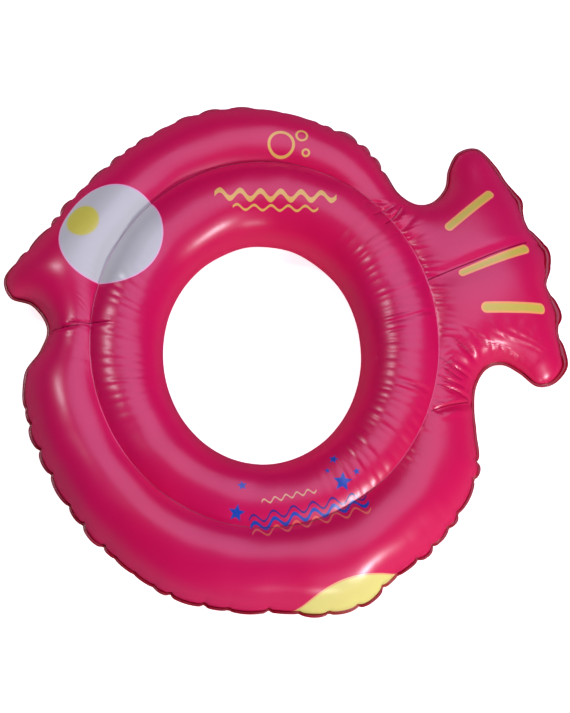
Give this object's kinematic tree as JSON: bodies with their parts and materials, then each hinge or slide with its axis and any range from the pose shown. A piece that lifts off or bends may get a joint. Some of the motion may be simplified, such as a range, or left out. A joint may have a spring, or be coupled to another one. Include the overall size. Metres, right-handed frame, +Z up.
{
  "type": "inflatable swim ring",
  "caption": "Fish-shaped inflatable swim ring with an oval body hole, separate inner and outer air chambers and push-in inflation valves.",
  "frame": {"origin": "on the floor plane, at the middle of the fish outline's length and width", "axes": "+X towards the tail, +Z up through the printed front, +Y towards the fish's back; the ring lies flat on its back sheet"},
  "size_m": [0.682, 0.63, 0.1014],
  "materials": {
    "front_film": "glossy soft PVC film, pink, with printed eye and tail stripes",
    "back_film": "glossy soft PVC film, deep pink",
    "divider_film": "soft PVC film, deep pink",
    "valve_pvc": "soft moulded PVC, slightly cloudy pink",
    "flap_pvc": "thin clear soft PVC",
    "plug_pvc": "soft moulded PVC, slightly cloudy pink"
  },
  "bodies": {
    "ring": {"front_sheet": "front_film", "back_sheet": "back_film", "divider_web": "divider_film", "inner_valve_seat": "valve_pvc", "inner_valve_collar": "valve_pvc", "outer_valve_seat": "valve_pvc", "outer_valve_collar": "valve_pvc"},
    "inner_stem": {"inner_valve_stem": "valve_pvc", "inner_valve_strap": "valve_pvc"},
    "inner_flap": {"inner_valve_check_flap": "flap_pvc"},
    "inner_plug": {"inner_valve_plug": "plug_pvc"},
    "outer_stem": {"outer_valve_stem": "valve_pvc", "outer_valve_strap": "valve_pvc"},
    "outer_flap": {"outer_valve_check_flap": "flap_pvc"},
    "outer_plug": {"outer_valve_plug": "plug_pvc"}
  },
  "joints": [
    {"name": "inner_stem_slide", "type": "slide", "parent": "ring", "child": "inner_stem", "axis": [-0.4431, 0.6644, -0.6018], "range_m": [0, 0.009]},
    {"name": "inner_plug_hinge", "type": "hinge", "parent": "inner_stem", "child": "inner_plug", "pos_m": [0.03115, -0.12362, 0.0264], "axis": [0.832, 0.5548, 0], "range_deg": [0, 110]},
    {"name": "inner_flap_hinge", "type": "hinge", "parent": "inner_stem", "child": "inner_flap", "pos_m": [0.04127, -0.13879, 0.03112], "axis": [-0.832, -0.5548, 0], "range_deg": [0, 55], "stiffness_Nm_per_rad": 0.0005},
    {"name": "outer_stem_slide", "type": "slide", "parent": "ring", "child": "outer_stem", "axis": [-0.5918, -0.5363, -0.6018], "range_m": [0, 0.009]},
    {"name": "outer_plug_hinge", "type": "hinge", "parent": "outer_stem", "child": "outer_plug", "pos_m": [-0.23583, -0.20752, 0.02565], "axis": [-0.6715, 0.741, 0], "range_deg": [0, 110]},
    {"name": "outer_flap_hinge", "type": "hinge", "parent": "outer_stem", "child": "outer_flap", "pos_m": [-0.22233, -0.19528, 0.03037], "axis": [0.6715, -0.741, 0], "range_deg": [0, 55], "stiffness_Nm_per_rad": 0.0005}
  ]
}
